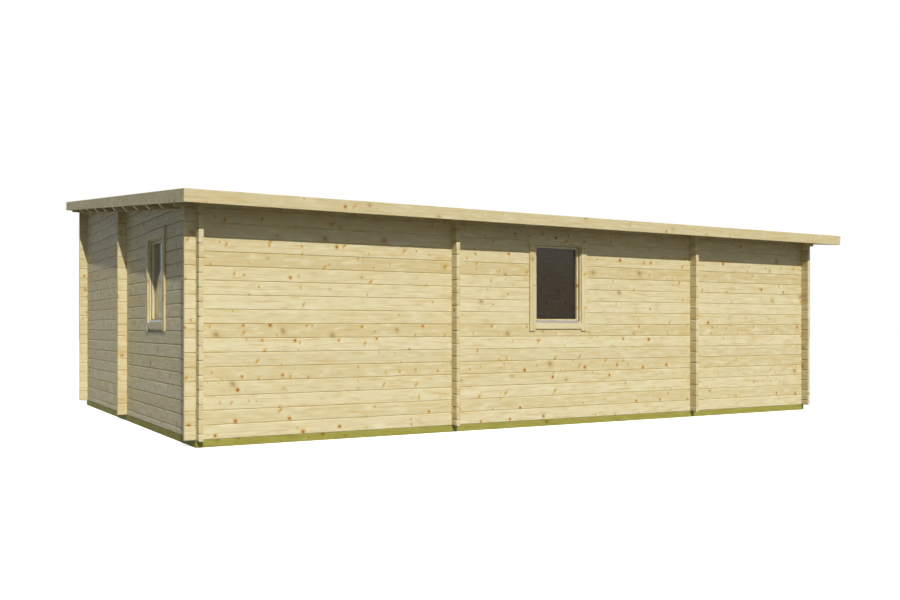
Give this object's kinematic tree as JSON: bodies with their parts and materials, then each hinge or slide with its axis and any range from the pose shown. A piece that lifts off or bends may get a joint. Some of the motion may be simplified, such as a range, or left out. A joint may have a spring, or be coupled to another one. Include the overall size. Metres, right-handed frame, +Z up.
{
  "type": "log cabin",
  "caption": "Low single-pitch log cabin of interlocking spruce logs on treated base beams, with overhanging fascia-edged roof, casement windows, partitioned rooms and a plain front door.",
  "frame": {"origin": "middle of the plan, on the ground under the base beams", "axes": "+X along the long walls, from the short wall with a window to the plain one; +Y from the low rear wall to the tall front wall; +Z up"},
  "size_m": [8.737, 6.592, 2.9615],
  "materials": {
    "spruce_logs": "planed, untreated",
    "planed_spruce": "planed, untreated",
    "treated_pine": "pressure-treated, greenish",
    "roofing_felt": "mineral-surfaced bitumen felt",
    "window_glass": "clear",
    "aluminium": "mill finish"
  },
  "bodies": {
    "root": {"rear_base_beam": "treated_pine", "front_base_beam": "treated_pine", "left_base_beam": "treated_pine", "right_base_beam": "treated_pine", "inner_base_beams": "treated_pine", "floor_joists": "treated_pine", "left_rear_floor": "planed_spruce", "left_front_floor": "planed_spruce", "middle_rear_floor": "planed_spruce", "middle_front_floor": "planed_spruce", "right_floor": "planed_spruce", "rear_wall": "spruce_logs", "front_wall": "spruce_logs", "left_wall": "spruce_logs", "right_wall": "spruce_logs", "left_cross_wall": "spruce_logs", "right_cross_wall": "spruce_logs", "left_room_partition": "spruce_logs", "middle_room_partition": "spruce_logs", "rear_wall_plate": "spruce_logs", "front_wall_plate": "spruce_logs", "purlins": "spruce_logs", "roof_deck": "planed_spruce", "roof_felt": "roofing_felt", "rear_fascia": "planed_spruce", "front_fascia": "planed_spruce", "left_fascia": "planed_spruce", "right_fascia": "planed_spruce", "rear_window_frame": "planed_spruce", "rear_window_sash": "planed_spruce", "rear_window_glass": "window_glass", "rear_window_drip": "aluminium", "rear_window_trim": "planed_spruce", "left_window_frame": "planed_spruce", "left_window_sash": "planed_spruce", "left_window_glass": "window_glass", "left_window_drip": "aluminium", "left_window_trim": "planed_spruce", "doorway_linings": "planed_spruce", "door_frame": "planed_spruce", "door_leaf": "planed_spruce", "door_trim": "planed_spruce", "door_handle": "aluminium"}
  },
  "joints": []
}
